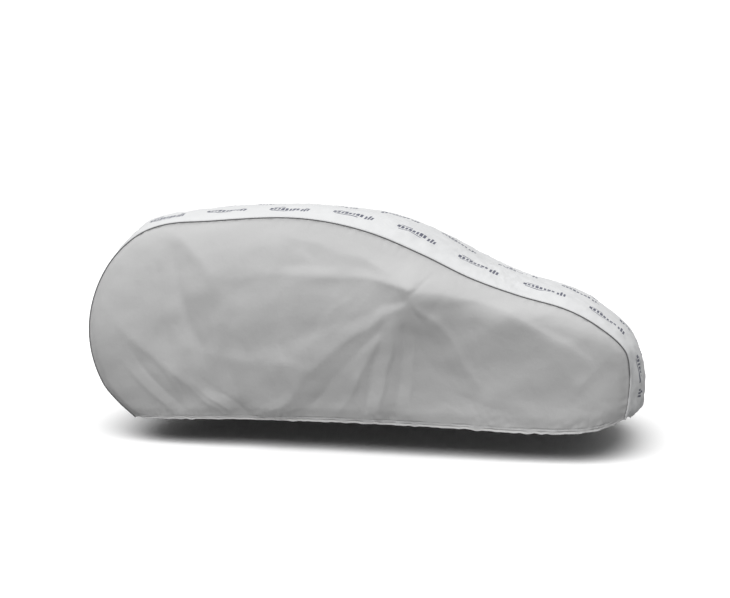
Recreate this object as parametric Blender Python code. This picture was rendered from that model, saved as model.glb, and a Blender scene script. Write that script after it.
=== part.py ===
"""A fitted cover for a small hatchback, hanging as it does over the car.

One light top strip runs from the tail's hem over the roof to the nose's hem. A grey side panel is sewn
to each of its long edges, with a narrow piping in the seam. The panels are thin closed sheets that carry
the shape's main folds.
"""
import math
from typing import NamedTuple

import bmesh
import bpy
from mathutils import Vector

# ---- Driving dimensions, in metres ----------------------------------------------------
# X runs from tail to nose, Y from the right side to the left, Z up. The tables below count X from the
# middle of the cover and Z from the ground that the car stands on.
CLOTH = 0.0025  # thickness of the sheets
PIPING_RADIUS = 0.004
PIPING_SIDES = 6
SEAM_CLEARANCE = 0.0004  # between the piping and each cloth edge
REST_X = -0.65  # the highest stretch of the roof, where the car carries the cover
REST_HEIGHT = 1.545  # of the cloth's inside there
FLANK_HALF_WIDTH = 0.80  # of the hem along the sills
FLANK_BULGE = 0.13  # how far the flank stands out past a straight line from hem to seam
FLANK_BULGE_HEIGHT = 1.25  # over 1 puts the widest place above the middle
FRONT_BULGE = 0.085  # the same two beside the bonnet, where the shoulder is widest
FRONT_BULGE_HEIGHT = 2.3
FRONT_START = 0.48  # the shares of the length over which one form goes over into the other
FRONT_FULL = 0.76
FLANK_END_POWER = 7  # how suddenly the flank turns in towards the tail and the nose
STRIP_POWER = 2.6  # of the strip's cross-section: 2 is a parabola, more is flatter with steeper edges
HEM_HEIGHT = 0.03
HEM_TUCK = 0.012  # how far the gathered hem draws in
HEM_PUCKER = 0.003  # how far the gathers push the hem in and out
HEM_PUCKER_PITCH = 0.19
HEM_PUCKER_BEAT = 0.86  # over this length the gathers swell and fade
HEM_END_SHARE = 1 / 12  # of the hem's length, over which its gathers start at either end
FOLD_EDGE_SHARE = 1 / 6  # of the panel, over which its folds start along the seam
FOLD_END_SHARE = 1.4  # of a fold's width, over which its ends run out
FOLD_CREST = 0.2  # roundness of a fold's crest, as a share of its width
FOLD_FALL = 1.4  # how fast a fold falls off beside its crest
EDGE_LEAN = 0.5  # how steeply the panel's edge leaves the seam outwards

ARC_ROWS = 18  # rows of the side panel, along the tail's arc and the nose's arc
TOP_COLUMNS = 60  # columns of the side panel, along roof, windscreen and bonnet
CROWDING = 0.35  # how much closer than even the columns stand below the door mirror
CROWDED_SHARE = 0.62  # where that is, from tail to nose
HEM_ROW_SHARE = 0.035  # the height of the row that closes off the hem
TANGENT_STEP = 0.004  # the share of the seam on either side that gives its direction
STRIP_COLUMNS = 8  # across the top strip


class Station(NamedTuple):
    """A place along the seam, and the point of the cover's middle line that lies opposite it."""

    seam_x: float
    seam_z: float
    half_width: float
    middle_x: float
    middle_z: float


TAIL_ARC = [
    Station(-1.39, 0.15, 0.70, -1.46, 0.17),
    Station(-1.53, 0.26, 0.69, -1.62, 0.27),
    Station(-1.63, 0.37, 0.68, -1.74, 0.38),
    Station(-1.71, 0.57, 0.67, -1.84, 0.58),
    Station(-1.73, 0.78, 0.65, -1.86, 0.81),
    Station(-1.68, 1.00, 0.63, -1.78, 1.05),
    Station(-1.56, 1.20, 0.62, -1.64, 1.26),
    Station(-1.39, 1.35, 0.60, -1.46, 1.45),
]
TOP = [
    Station(-1.19, 1.42, 0.60, -1.21, 1.505),
    Station(-0.92, 1.44, 0.60, -0.93, 1.54),
    Station(-0.42, 1.465, 0.61, -0.42, 1.55),
    Station(-0.11, 1.44, 0.62, -0.09, 1.53),
    Station(0.20, 1.365, 0.63, 0.24, 1.475),
    Station(0.51, 1.24, 0.64, 0.56, 1.345),
    Station(0.81, 1.10, 0.65, 0.85, 1.19),
    Station(1.10, 1.00, 0.655, 1.12, 1.08),
    Station(1.39, 0.92, 0.66, 1.42, 0.985),
]
NOSE_ARC = [
    Station(1.58, 0.82, 0.66, 1.63, 0.87),
    Station(1.735, 0.68, 0.64, 1.80, 0.715),
    Station(1.768, 0.53, 0.625, 1.868, 0.545),
    Station(1.766, 0.38, 0.612, 1.876, 0.365),
    Station(1.757, 0.31, 0.605, 1.862, 0.275),
    Station(1.745, 0.255, 0.60, 1.80, 0.245),
]


class HemPoint(NamedTuple):
    x: float
    z: float
    half_width: float


# Along the bottom of a side panel, between the tail's seam and the nose's seam.
HEM = [
    HemPoint(-1.39, 0.15, 0.70),
    HemPoint(-1.31, 0.157, 0.77),
    HemPoint(-1.10, 0.168, FLANK_HALF_WIDTH),
    HemPoint(-0.56, 0.186, FLANK_HALF_WIDTH),
    HemPoint(0.10, 0.196, FLANK_HALF_WIDTH),
    HemPoint(0.70, 0.193, FLANK_HALF_WIDTH),
    HemPoint(1.10, 0.183, FLANK_HALF_WIDTH),
    HemPoint(1.40, 0.184, 0.77),
    HemPoint(1.58, 0.202, 0.73),
    HemPoint(1.69, 0.231, 0.66),
    HemPoint(1.745, 0.255, 0.60),
]


class Fold(NamedTuple):
    """A soft ridge (height over 0) or trough (under 0) in a side panel, from end to end in side view."""

    from_x: float
    from_z: float
    to_x: float
    to_z: float
    bow: float  # how far the fold's middle bends to the left of its run
    from_width: float
    to_width: float
    from_height: float
    to_height: float
    lean: float  # 0 where both flanks are alike, up to 1 for a steeper one on the right of its run


# The door mirror pushes the cloth out into a low tent, and most folds run from it.
MIRROR_X = 0.50
MIRROR_Z = 1.04
MIRROR_REACH = 0.078
MIRROR_SPREAD = 0.20
MIRROR_SPREAD_UP = 0.15
MIRROR_SPREAD_DOWN = 0.30
MIRROR_ROUND = 0.35
FOLDS = [
    # From the mirror forwards along the bonnet's shoulder, below which the cloth hangs straight.
    Fold(0.50, 1.03, 1.56, 0.56, 0.110, 0.140, 0.17, 0.034, 0.026, -0.4),
    # The crease from the mirror up to the seam.
    Fold(0.505, 1.045, 0.66, 1.155, 0.01, 0.022, 0.030, -0.006, -0.003, -0.3),
    # Back along the doors.
    Fold(0.46, 1.06, -0.72, 1.09, -0.035, 0.055, 0.13, 0.017, 0.012, 0.0),
    Fold(0.42, 0.965, -0.30, 0.70, 0.00, 0.070, 0.10, -0.010, -0.007, 0.0),
    Fold(0.41, 0.92, -0.32, 0.34, -0.05, 0.060, 0.11, 0.010, 0.014, -0.3),
    # Down to the sill.
    Fold(0.26, 0.77, -0.10, 0.36, 0.00, 0.040, 0.060, -0.006, -0.006, 0.0),
    Fold(0.27, 0.72, 0.03, 0.29, 0.02, 0.035, 0.055, 0.006, 0.008, -0.3),
    Fold(0.30, 0.78, 0.19, 0.30, 0.00, 0.030, 0.040, -0.005, -0.006, 0.0),
    Fold(0.365, 0.80, 0.265, 0.26, 0.01, 0.034, 0.045, 0.008, 0.011, -0.4),
    Fold(0.44, 0.78, 0.385, 0.28, 0.00, 0.035, 0.050, -0.005, -0.006, 0.0),
    Fold(0.50, 0.70, 0.465, 0.27, 0.00, 0.030, 0.045, 0.004, 0.007, -0.3),
    Fold(0.53, 0.90, 0.72, 0.54, 0.00, 0.035, 0.050, -0.006, -0.005, 0.0),
    Fold(0.55, 0.91, 0.84, 0.50, 0.035, 0.035, 0.060, 0.010, 0.007, -0.3),
    Fold(0.86, 0.78, 0.94, 0.48, 0.00, 0.060, 0.080, -0.005, -0.004, 0.0),
    # From the tail's roof corner down over the rear wheel.
    Fold(-1.09, 1.17, -0.89, 0.66, -0.01, 0.110, 0.110, -0.020, -0.024, 0.1),
    Fold(-1.19, 1.05, -1.10, 0.62, 0.00, 0.070, 0.080, -0.010, -0.012, 0.0),
    Fold(-1.16, 1.38, -0.82, 1.06, 0.05, 0.110, 0.100, 0.024, 0.010, -0.2),
    # Low at the tail, drawn in by the hem.
    Fold(-1.42, 0.74, -0.84, 0.28, 0.02, 0.060, 0.060, 0.009, 0.011, 0.3),
    Fold(-1.34, 0.60, -1.04, 0.28, -0.02, 0.045, 0.040, -0.005, -0.007, 0.0),
    Fold(-1.38, 0.50, -1.12, 0.25, -0.01, 0.045, 0.045, 0.004, 0.008, 0.3),
    Fold(-0.80, 0.60, -0.28, 0.54, -0.01, 0.120, 0.130, 0.011, 0.010, -0.4),
    Fold(-0.83, 0.42, -0.62, 0.26, 0.00, 0.040, 0.045, -0.005, -0.005, 0.0),
    Fold(-0.92, 0.40, -0.72, 0.23, 0.00, 0.040, 0.045, 0.004, 0.005, 0.3),
    # Drawn in along the sill.
    Fold(-0.72, 0.20, 1.20, 0.22, 0.00, 0.120, 0.12, -0.010, -0.008, 0.0),
    # Low at the front, and where the cloth turns round the nose.
    Fold(1.00, 0.36, 1.58, 0.28, 0.00, 0.090, 0.09, 0.003, 0.004, 0.0),
    Fold(1.52, 0.50, 1.70, 0.70, 0.00, 0.060, 0.06, 0.012, 0.012, 0.3),
    # Slack below the roof's seam.
    Fold(-0.38, 1.38, -0.39, 0.96, 0.00, 0.100, 0.120, 0.009, 0.007, -0.3),
    Fold(-0.25, 1.33, 0.42, 1.09, 0.04, 0.070, 0.050, 0.008, 0.005, 0.3),
    Fold(-0.30, 1.17, 0.30, 1.12, 0.02, 0.060, 0.045, -0.004, -0.003, 0.0),
]
FAR_SIDE_DRIFT = 0.05  # how far the far side's folds stray from a mirror image of the near side's
FAR_SIDE_TURN = 3.0  # radians from one fold's stray to the next one's


# ---- Curves --------------------------------------------------------------------------
class Curve:
    """A smooth curve through a table's rows, addressed by the share of its length in the first two values."""

    def __init__(self, rows):
        self.rows = [tuple(row) for row in rows]
        self.knots = [0.0]
        for a, b in zip(self.rows, self.rows[1:]):
            self.knots.append(self.knots[-1] + math.dist(a[:2], b[:2]))

    def slope(self, i):
        """The table's change per metre at row i."""
        a, b = max(i - 1, 0), min(i + 1, len(self.rows) - 1)
        run = self.knots[b] - self.knots[a]
        return [(q - p) / run for p, q in zip(self.rows[a], self.rows[b])]

    def at(self, share):
        along = min(max(share, 0.0), 1.0) * self.knots[-1]
        i = 0
        while i < len(self.rows) - 2 and along > self.knots[i + 1]:
            i += 1
        run = self.knots[i + 1] - self.knots[i]
        t = (along - self.knots[i]) / run
        ease, rest = t * t * (3 - 2 * t), 1 - t
        return [
            p + (q - p) * ease + run * t * rest * (rest * m - t * n)
            for p, q, m, n in zip(self.rows[i], self.rows[i + 1], self.slope(i), self.slope(i + 1))
        ]

    def share_of_row(self, i):
        return self.knots[i] / self.knots[-1]


SEAM = Curve(TAIL_ARC + TOP + NOSE_ARC)
TAIL_CORNER = SEAM.share_of_row(len(TAIL_ARC) - 1)
NOSE_CORNER = SEAM.share_of_row(len(TAIL_ARC + TOP))
HEM_LINE = Curve(HEM)


def row_shares():
    """Where the panel's rows lie between hem and seam: one closes off the hem, and the rest are even."""
    even = [i / (ARC_ROWS - 1) for i in range(ARC_ROWS)]
    return [0.0] + [HEM_ROW_SHARE + (1 - HEM_ROW_SHARE) * share for share in even]


def column_shares():
    """Where the side panel's columns lie between tail and nose."""
    shares = []
    for i in range(TOP_COLUMNS + 1):
        even = i / TOP_COLUMNS
        wave = math.sin(math.tau * (even - CROWDED_SHARE)) + math.sin(math.tau * CROWDED_SHARE)
        shares.append(even - CROWDING * wave / math.tau)
    return shares


def seam_shares():
    """The stations that the side panel, the strip and the piping all use along the seam."""
    rows = row_shares()
    tail = [TAIL_CORNER * v for v in rows]
    top = [TAIL_CORNER + (NOSE_CORNER - TAIL_CORNER) * u for u in column_shares()[1:-1]]
    nose = [1 - (1 - NOSE_CORNER) * v for v in reversed(rows)]
    return tail + top + nose


def station(share):
    return Station(*SEAM.at(share))


def seam_point(share):
    """A point of the right-hand seam."""
    s = station(share)
    return Vector((s.seam_x, -s.half_width, s.seam_z))


def inward(share):
    """The way from the seam into the side panel, square to the seam in the side view."""
    ahead = seam_point(min(share + TANGENT_STEP, 1)) - seam_point(max(share - TANGENT_STEP, 0))
    return Vector((ahead.z, 0, -ahead.x)).normalized()


# ---- Top strip -----------------------------------------------------------------------
def strip_point(share, across):
    """A point of the strip, with across from -1 at the right-hand seam to 1 at the left-hand one."""
    s = station(share)
    rise = 1 - abs(across) ** STRIP_POWER
    return Vector(
        (
            s.seam_x + (s.middle_x - s.seam_x) * rise,
            s.half_width * across,
            s.seam_z + (s.middle_z - s.seam_z) * rise,
        )
    )


def strip_edge(share):
    """How much of the strip's half width its cut edge leaves to the piping."""
    return 1 - (PIPING_RADIUS + SEAM_CLEARANCE) / station(share).half_width


# ---- Side panels ---------------------------------------------------------------------
def panel_edge(share):
    """A point of the panel's cut edge along the seam, beside the piping."""
    way = (inward(share) + Vector((0, -EDGE_LEAN, 0))).normalized()
    return seam_point(share) + way * (PIPING_RADIUS + SEAM_CLEARANCE)


def panel_outline(u, v):
    """A point of the patch between hem, seam and arcs: u runs from tail to nose, v from hem to seam."""

    def hem(t):
        start, end = panel_edge(0), panel_edge(1)
        x, z, half_width = HEM_LINE.at(t)
        shift = (start - Vector((HEM[0].x, -HEM[0].half_width, HEM[0].z))) * (1 - t)
        shift += (end - Vector((HEM[-1].x, -HEM[-1].half_width, HEM[-1].z))) * t
        return Vector((x, -half_width, z)) + shift

    def top(t):
        return panel_edge(TAIL_CORNER + (NOSE_CORNER - TAIL_CORNER) * t)

    def tail(t):
        return panel_edge(TAIL_CORNER * t)

    def nose(t):
        return panel_edge(1 - (1 - NOSE_CORNER) * t)

    corners = (1 - u) * ((1 - v) * tail(0) + v * tail(1)) + u * ((1 - v) * nose(0) + v * nose(1))
    return (1 - v) * hem(u) + v * top(u) + (1 - u) * tail(v) + u * nose(v) - corners


def fold_height(x, z, fold, drift):
    """How far one fold pushes the cloth out at a place in the side view."""
    start = Vector((fold.from_x + drift, fold.from_z))
    end = Vector((fold.to_x + drift, fold.to_z))
    run = end - start
    length = run.length
    along = (Vector((x, z)) - start).dot(run) / length**2
    bend = fold.bow * 4 * along * (1 - along) if 0 < along < 1 else 0.0
    off = (Vector((x, z)) - start).cross(run) / length + bend
    t = min(max(along, 0.0), 1.0)
    width = fold.from_width + (fold.to_width - fold.from_width) * t
    flank = width * (1 - fold.lean * math.copysign(1, off))
    height = fold.from_height + (fold.to_height - fold.from_height) * t
    past = (along - t) * length
    fall = FOLD_FALL * (math.hypot(off / flank, FOLD_CREST) - FOLD_CREST)
    return height * math.exp(-fall - (past / (FOLD_END_SHARE * width)) ** 2)


def slack(x, z, side):
    """All folds together, with the door mirror's tent."""
    height = 0.0
    for i, fold in enumerate(FOLDS):
        drift = FAR_SIDE_DRIFT * math.sin(FAR_SIDE_TURN * i) if side > 0 else 0.0
        height += fold_height(x, z, fold, drift)
    rise = (z - MIRROR_Z) / (MIRROR_SPREAD_UP if z > MIRROR_Z else MIRROR_SPREAD_DOWN)
    away = math.hypot((x - MIRROR_X) / MIRROR_SPREAD, rise, MIRROR_ROUND) - MIRROR_ROUND
    return height + MIRROR_REACH * math.exp(-away)


def panel_point(u, v, side):
    """A point of a side panel's outer face, with side -1 on the right and 1 on the left."""
    p = panel_outline(u, v)
    forward = min(1.0, max(0.0, (u - FRONT_START) / (FRONT_FULL - FRONT_START)))
    forward = forward**2 * (3 - 2 * forward)
    bulge = FLANK_BULGE + (FRONT_BULGE - FLANK_BULGE) * forward
    bulge_height = FLANK_BULGE_HEIGHT + (FRONT_BULGE_HEIGHT - FLANK_BULGE_HEIGHT) * forward
    out = bulge * math.sin(math.pi * v**bulge_height) * (1 - abs(2 * u - 1) ** FLANK_END_POWER)
    from_seam = min(1.0, min(u, 1 - u, 1 - v) / FOLD_EDGE_SHARE)
    out += slack(p.x, p.z, side) * from_seam**2 * (3 - 2 * from_seam)
    above_hem = (p.z - HEM_LINE.at(u)[1]) / HEM_HEIGHT
    if above_hem < 1:
        from_end = min(1.0, min(u, 1 - u) / HEM_END_SHARE)
        gather = math.sin(math.tau * p.x / HEM_PUCKER_PITCH) * math.sin(math.tau * p.x / HEM_PUCKER_BEAT)
        out += from_end * (HEM_PUCKER * gather - HEM_TUCK) * (1 - above_hem)
    return Vector((p.x, (p.y - out) * -side, p.z))


# ---- Solids --------------------------------------------------------------------------
def make_material(name, colour, roughness):
    material = bpy.data.materials.new(name)
    material.use_nodes = True
    shader = material.node_tree.nodes["Principled BSDF"]
    shader.inputs["Base Color"].default_value = (*colour, 1)
    shader.inputs["Roughness"].default_value = roughness
    shader.inputs["Metallic"].default_value = 0
    return material


def place(obj, material):
    """Puts the object in the scene, with its origin under the roof's inside, where the car carries it."""
    obj.data.materials.append(material)
    obj.location = (-REST_X, 0, -REST_HEIGHT)
    bpy.context.collection.objects.link(obj)
    return obj


def sheet(name, material, columns, rows, point, flip):
    """A thin closed sheet over a grid: point gives the outer face's place for a column and a row."""
    bm = bmesh.new()
    grid = [[bm.verts.new(point(column, row)) for row in rows] for column in columns]
    for left, right in zip(grid, grid[1:]):
        for a, b, c, d in zip(left, right, right[1:], left[1:]):
            bm.faces.new((d, c, b, a) if flip else (a, b, c, d))
    mesh = bpy.data.meshes.new(name)
    bm.to_mesh(mesh)
    bm.free()
    mesh.shade_smooth()
    obj = place(bpy.data.objects.new(name, mesh), material)
    thicken = obj.modifiers.new("cloth", "SOLIDIFY")
    thicken.thickness = CLOTH
    thicken.offset = -1
    return obj


def side_panel(name, material, side):
    return sheet(
        name,
        material,
        column_shares(),
        row_shares(),
        lambda u, v: panel_point(u, v, side),
        side > 0,
    )


def top_strip(name, material):
    across = [2 * i / STRIP_COLUMNS - 1 for i in range(STRIP_COLUMNS + 1)]
    return sheet(
        name,
        material,
        seam_shares(),
        across,
        lambda share, w: strip_point(share, w * strip_edge(share)),
        False,
    )


def seam_piping(name, material, side):
    """A thin round cord along one seam."""
    bm = bmesh.new()
    rings = []
    for share in seam_shares():
        centre = seam_point(share)
        down = inward(share)
        outwards = Vector((0, -1, 0))
        ring = []
        for i in range(PIPING_SIDES):
            turn = math.tau * (i + 0.5) / PIPING_SIDES
            spot = centre + PIPING_RADIUS * (math.cos(turn) * down + math.sin(turn) * outwards)
            ring.append(bm.verts.new((spot.x, spot.y * -side, spot.z)))
        rings.append(ring)
    for first, second in zip(rings, rings[1:]):
        for i in range(PIPING_SIDES):
            j = (i + 1) % PIPING_SIDES
            bm.faces.new((first[i], first[j], second[j], second[i]))
    bm.faces.new(rings[0])
    bm.faces.new(rings[-1])
    bmesh.ops.recalc_face_normals(bm, faces=bm.faces)
    mesh = bpy.data.meshes.new(name)
    bm.to_mesh(mesh)
    bm.free()
    mesh.shade_smooth()
    return place(bpy.data.objects.new(name, mesh), material)


def main():
    for obj in list(bpy.data.objects):
        bpy.data.objects.remove(obj)
    white = make_material("white_cloth", (0.80, 0.81, 0.82), 0.7)
    grey = make_material("grey_cloth", (0.42, 0.42, 0.42), 0.75)
    dark = make_material("dark_piping", (0.13, 0.13, 0.14), 0.7)
    top_strip("top_strip", white)
    for side, word in ((-1, "right"), (1, "left")):
        side_panel(f"side_panel_{word}", grey, side)
        seam_piping(f"seam_piping_{word}", dark, side)


main()
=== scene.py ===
"""A fitted car cover: two grey side panels, a light strip over the top, and dark piping in the seams.

The cloth hangs as it does in use. Most of its main folds run from the door mirror's bulge and from the
tail's roof corner, and fine ones from seeded chance lie over them.
"""

import math
from typing import NamedTuple

import bmesh
import bpy
import numpy as np
from mathutils import Euler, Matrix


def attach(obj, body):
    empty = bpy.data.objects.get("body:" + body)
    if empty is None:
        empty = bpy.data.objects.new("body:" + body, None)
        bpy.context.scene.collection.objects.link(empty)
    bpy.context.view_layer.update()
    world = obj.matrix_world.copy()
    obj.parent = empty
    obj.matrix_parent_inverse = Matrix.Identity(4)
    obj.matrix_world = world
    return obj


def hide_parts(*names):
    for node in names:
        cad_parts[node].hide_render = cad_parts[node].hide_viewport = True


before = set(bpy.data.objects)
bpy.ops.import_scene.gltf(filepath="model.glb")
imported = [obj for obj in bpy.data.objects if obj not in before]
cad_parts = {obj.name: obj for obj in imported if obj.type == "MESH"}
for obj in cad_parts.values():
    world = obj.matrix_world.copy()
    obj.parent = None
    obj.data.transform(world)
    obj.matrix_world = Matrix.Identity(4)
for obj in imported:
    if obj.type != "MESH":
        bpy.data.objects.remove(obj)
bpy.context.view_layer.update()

# ---- Places and sizes, in metres --------
# The tables count X from the middle of the cover and Z from the ground, as the pattern does. The frame's
# origin lies under the roof instead, so every finished point is shifted to it.
TO_ROOF = np.array([0.65, 0.0, -1.545])
CLOTH = 0.0018  # its thickness
PIPING_RADIUS = 0.004
SEAM_CLEARANCE = 0.0004  # between the piping and each cloth edge
FLANK_HALF_WIDTH = 0.80  # of the hem along the sills
FLANK_BULGE = 0.13  # how far the flank stands out past a straight line from hem to seam
FLANK_BULGE_HEIGHT = 1.25  # over 1 puts the widest place above the middle
FRONT_BULGE = 0.085  # the same two beside the bonnet, where the shoulder is widest
FRONT_BULGE_HEIGHT = 2.3
FRONT_START = 0.48  # the shares of the length over which one form goes over into the other
FRONT_FULL = 0.76
FLANK_END_POWER = 7  # how suddenly the flank turns in towards the tail and the nose
STRIP_POWER = 2.6  # roundness of the strip's cross-section
FOLD_EDGE_SHARE = 1 / 6  # of the panel, over which its main folds set in from the seam
FOLD_END_SHARE = 1.4  # of a fold's width, over which its ends run out
FOLD_CREST = 0.2  # roundness of a fold's crest, as a share of its width
FOLD_FALL = 1.4  # how fast a fold falls off beside its crest
EDGE_LEAN = 0.5  # how steeply the panel's edge leaves the seam outwards
TANGENT_STEP = 0.004  # the share of the seam on either side that gives its direction

PANEL_COLUMNS = 380
PANEL_ROWS = 122
HEM_ROWS = 16  # of the panel's rows, over the hem
HEM_SHARE = 0.031  # of the panel's height that they cover
ROW_CROWDING = 0.6  # how much closer than even the other rows stand at their ends
STRIP_STATIONS = 580
END_STATIONS = 12  # of the strip's stations, over the hem at either end
END_SHARE = 0.0065  # of the strip's length that they cover
STRIP_COLUMNS = 74
EDGE_COLUMNS = 12  # of the strip's columns, close together beside each seam
EDGE_SHARE = 0.05  # of the strip's half width that they cover
PIPING_POINTS = 900
PIPING_SIDES = 8

# Each side's word, and whether it mirrors the right-hand side.
SIDES = (("right", False), ("left", True))


class Station(NamedTuple):
    """A place along the seam, and the point of the cover's middle line that lies opposite it."""

    seam_x: float
    seam_z: float
    half_width: float
    middle_x: float
    middle_z: float


TAIL_ARC = [
    Station(-1.39, 0.15, 0.70, -1.46, 0.17),
    Station(-1.53, 0.26, 0.69, -1.62, 0.27),
    Station(-1.63, 0.37, 0.68, -1.74, 0.38),
    Station(-1.71, 0.57, 0.67, -1.84, 0.58),
    Station(-1.73, 0.78, 0.65, -1.86, 0.81),
    Station(-1.68, 1.00, 0.63, -1.78, 1.05),
    Station(-1.56, 1.20, 0.62, -1.64, 1.26),
    Station(-1.39, 1.35, 0.60, -1.46, 1.45),
]
TOP = [
    Station(-1.19, 1.42, 0.60, -1.21, 1.505),
    Station(-0.92, 1.44, 0.60, -0.93, 1.54),
    Station(-0.42, 1.465, 0.61, -0.42, 1.55),
    Station(-0.11, 1.44, 0.62, -0.09, 1.53),
    Station(0.20, 1.365, 0.63, 0.24, 1.475),
    Station(0.51, 1.24, 0.64, 0.56, 1.345),
    Station(0.81, 1.10, 0.65, 0.85, 1.19),
    Station(1.10, 1.00, 0.655, 1.12, 1.08),
    Station(1.39, 0.92, 0.66, 1.42, 0.985),
]
NOSE_ARC = [
    Station(1.58, 0.82, 0.66, 1.63, 0.87),
    Station(1.735, 0.68, 0.64, 1.80, 0.715),
    Station(1.768, 0.53, 0.625, 1.868, 0.545),
    Station(1.766, 0.38, 0.612, 1.876, 0.365),
    Station(1.757, 0.31, 0.605, 1.862, 0.275),
    Station(1.745, 0.255, 0.60, 1.80, 0.245),
]


class HemPoint(NamedTuple):
    """A place along the bottom of a side panel."""

    x: float
    z: float
    half_width: float


# Between the tail's seam and the nose's seam.
HEM = [
    HemPoint(-1.39, 0.15, 0.70),
    HemPoint(-1.31, 0.157, 0.77),
    HemPoint(-1.10, 0.168, FLANK_HALF_WIDTH),
    HemPoint(-0.56, 0.186, FLANK_HALF_WIDTH),
    HemPoint(0.10, 0.196, FLANK_HALF_WIDTH),
    HemPoint(0.70, 0.193, FLANK_HALF_WIDTH),
    HemPoint(1.10, 0.183, FLANK_HALF_WIDTH),
    HemPoint(1.40, 0.184, 0.77),
    HemPoint(1.58, 0.202, 0.73),
    HemPoint(1.69, 0.231, 0.66),
    HemPoint(1.745, 0.255, 0.60),
]


class Fold(NamedTuple):
    """A soft ridge (height over 0) or trough (under 0) in a side panel, placed in the side view."""

    from_x: float
    from_z: float
    to_x: float
    to_z: float
    bow: float  # how far the fold's middle bends to the left of its run
    from_width: float
    to_width: float
    from_height: float
    to_height: float
    lean: float  # 0 where both flanks are alike, up to 1 for a steeper one on the right of its run


# The door mirror pushes the cloth out into a low tent, and most folds run from it.
MIRROR_X = 0.50
MIRROR_Z = 1.04
MIRROR_REACH = 0.078
MIRROR_SPREAD = 0.20
MIRROR_SPREAD_UP = 0.15
MIRROR_SPREAD_DOWN = 0.30
MIRROR_ROUND = 0.35
MAIN_FOLDS = [
    # From the mirror forwards along the bonnet's shoulder, below which the cloth hangs straight.
    Fold(0.50, 1.03, 1.56, 0.56, 0.110, 0.140, 0.17, 0.034, 0.026, -0.4),
    # The crease from the mirror up to the seam.
    Fold(0.505, 1.045, 0.69, 1.175, 0.01, 0.028, 0.042, -0.009, -0.007, -0.3),
    # Back along the doors.
    Fold(0.46, 1.06, -0.72, 1.09, -0.035, 0.055, 0.13, 0.018, 0.012, -0.25),
    Fold(0.42, 0.965, -0.30, 0.70, 0.00, 0.070, 0.10, -0.010, -0.007, 0.0),
    Fold(0.41, 0.92, -0.32, 0.34, -0.05, 0.060, 0.11, 0.010, 0.014, -0.3),
    # Down to the sill.
    Fold(0.26, 0.77, -0.10, 0.36, 0.00, 0.040, 0.060, -0.006, -0.006, 0.0),
    Fold(0.27, 0.72, 0.03, 0.29, 0.02, 0.035, 0.055, 0.006, 0.008, -0.3),
    Fold(0.30, 0.78, 0.19, 0.30, 0.00, 0.030, 0.040, -0.005, -0.006, 0.0),
    Fold(0.365, 0.80, 0.265, 0.26, 0.01, 0.034, 0.045, 0.008, 0.011, -0.4),
    Fold(0.44, 0.78, 0.385, 0.28, 0.00, 0.035, 0.050, -0.005, -0.006, 0.0),
    Fold(0.50, 0.70, 0.465, 0.27, 0.00, 0.030, 0.045, 0.004, 0.007, -0.3),
    Fold(0.53, 0.90, 0.72, 0.54, 0.00, 0.035, 0.050, -0.006, -0.005, 0.0),
    Fold(0.55, 0.91, 0.84, 0.50, 0.035, 0.035, 0.060, 0.010, 0.007, -0.3),
    Fold(0.86, 0.78, 0.94, 0.48, 0.00, 0.060, 0.080, -0.005, -0.004, 0.0),
    # From the tail's roof corner down the flank.
    Fold(-1.09, 1.17, -0.89, 0.66, -0.01, 0.110, 0.110, -0.020, -0.024, 0.1),
    Fold(-1.19, 1.05, -1.10, 0.62, 0.00, 0.070, 0.080, -0.010, -0.012, 0.0),
    Fold(-1.16, 1.38, -0.82, 1.06, 0.05, 0.110, 0.100, 0.024, 0.010, -0.2),
    # Low at the tail, drawn in by the hem.
    Fold(-1.42, 0.74, -0.84, 0.28, 0.02, 0.060, 0.060, 0.009, 0.011, 0.3),
    Fold(-1.34, 0.60, -1.04, 0.28, -0.02, 0.045, 0.040, -0.005, -0.007, 0.0),
    Fold(-1.38, 0.50, -1.12, 0.25, -0.01, 0.045, 0.045, 0.004, 0.008, 0.3),
    Fold(-0.80, 0.60, -0.28, 0.54, -0.01, 0.120, 0.130, 0.011, 0.010, -0.4),
    Fold(-0.83, 0.42, -0.62, 0.26, 0.00, 0.040, 0.045, -0.005, -0.005, 0.0),
    Fold(-0.92, 0.40, -0.72, 0.23, 0.00, 0.040, 0.045, 0.004, 0.005, 0.3),
    # Drawn in along the sill.
    Fold(-0.72, 0.20, 1.20, 0.22, 0.00, 0.120, 0.12, -0.010, -0.008, 0.0),
    # Low at the front, and where the cloth turns round the nose.
    Fold(1.00, 0.36, 1.58, 0.28, 0.00, 0.090, 0.09, 0.003, 0.004, 0.0),
    Fold(1.52, 0.50, 1.70, 0.70, 0.00, 0.060, 0.06, 0.012, 0.012, 0.3),
    # Slack below the roof's seam.
    Fold(-0.38, 1.38, -0.39, 0.96, 0.00, 0.100, 0.120, 0.009, 0.007, -0.3),
    Fold(-0.25, 1.33, 0.42, 1.09, 0.04, 0.070, 0.050, 0.008, 0.005, 0.3),
    Fold(-0.30, 1.17, 0.30, 1.12, 0.02, 0.060, 0.045, -0.004, -0.003, 0.0),
]
FAR_SIDE_DRIFT = 0.05  # how far the far side's folds stray from a mirror image of the near side's
FAR_SIDE_TURN = 3.0  # radians from one fold's stray to the next one's


# ---- Noise, and the sizes of what it shapes --------
WAVE_COUNT = 28
WAVE_SPREAD = 0.45  # how much the waves' lengths differ


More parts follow.
